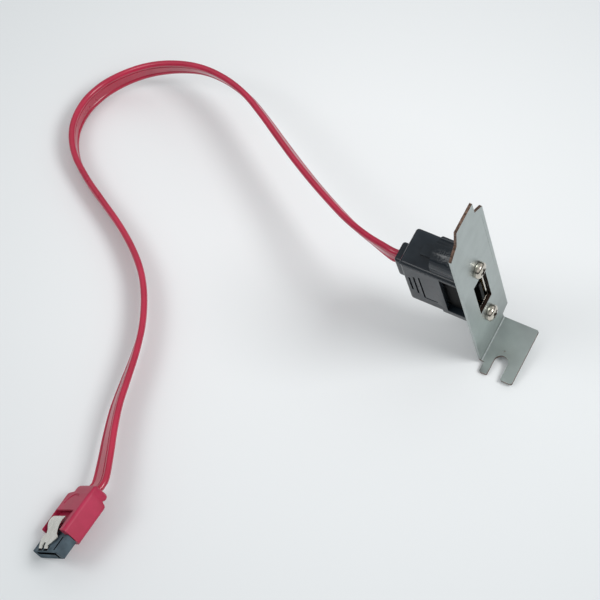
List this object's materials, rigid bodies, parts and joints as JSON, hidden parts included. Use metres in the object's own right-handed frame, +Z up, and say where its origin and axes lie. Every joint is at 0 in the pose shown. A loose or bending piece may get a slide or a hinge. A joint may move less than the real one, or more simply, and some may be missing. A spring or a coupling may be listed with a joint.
{
  "type": "expansion slot bracket with drive socket and cable",
  "caption": "Low-profile expansion slot bracket carrying an external serial drive socket, wired through a flat cable to an internal latching plug.",
  "frame": {"origin": "on the surface the lead lies on, under the middle of the bracket and its socket, cable and plug left out", "axes": "+Z is up from that surface, +X is to the right of the picture and +Y is away from its camera"},
  "size_m": [0.144, 0.1731, 0.08],
  "materials": {
    "zinc_plated_steel": "satin zinc plating with a cool grey-green cast",
    "nickel_plated_steel": "warm nickel plating",
    "brass": "plain turned brass",
    "black_pvc": "fine matte moulded PVC",
    "black_nylon": "smooth black insulator",
    "slate_nylon": "smooth slate-grey moulding",
    "red_pvc": "crimson extruded jacket, soft sheen",
    "red_moulded_pvc": "crimson moulded grip",
    "spring_steel": "bright pressed spring steel",
    "gold_plate": "thin gold plating"
  },
  "bodies": {
    "root": {"bracket": "zinc_plated_steel", "screw_upper": "nickel_plated_steel", "screw_lower": "nickel_plated_steel", "threaded_insert_upper": "brass", "threaded_insert_lower": "brass", "socket_body": "black_pvc", "receptacle_block": "black_nylon", "socket_shell": "nickel_plated_steel", "socket_contact_1": "gold_plate", "socket_contact_2": "gold_plate", "socket_contact_3": "gold_plate", "socket_contact_4": "gold_plate", "socket_contact_5": "gold_plate", "socket_contact_6": "gold_plate", "socket_contact_7": "gold_plate", "cable": "red_pvc", "plug_overmould": "red_moulded_pvc", "plug_housing": "slate_nylon", "plug_contact_1": "gold_plate", "plug_contact_2": "gold_plate", "plug_contact_3": "gold_plate", "plug_contact_4": "gold_plate", "plug_contact_5": "gold_plate", "plug_contact_6": "gold_plate", "plug_contact_7": "gold_plate"},
    "latch": {"latch_clip": "spring_steel"}
  },
  "joints": [
    {"name": "latch_press", "type": "hinge", "parent": "root", "child": "latch", "pos_m": [-0.11891, -0.06807, 0.00583], "axis": [-0.5419, 0.3933, -0.7427], "range_deg": [0, 4.5], "stiffness_Nm_per_rad": 0.3}
  ]
}
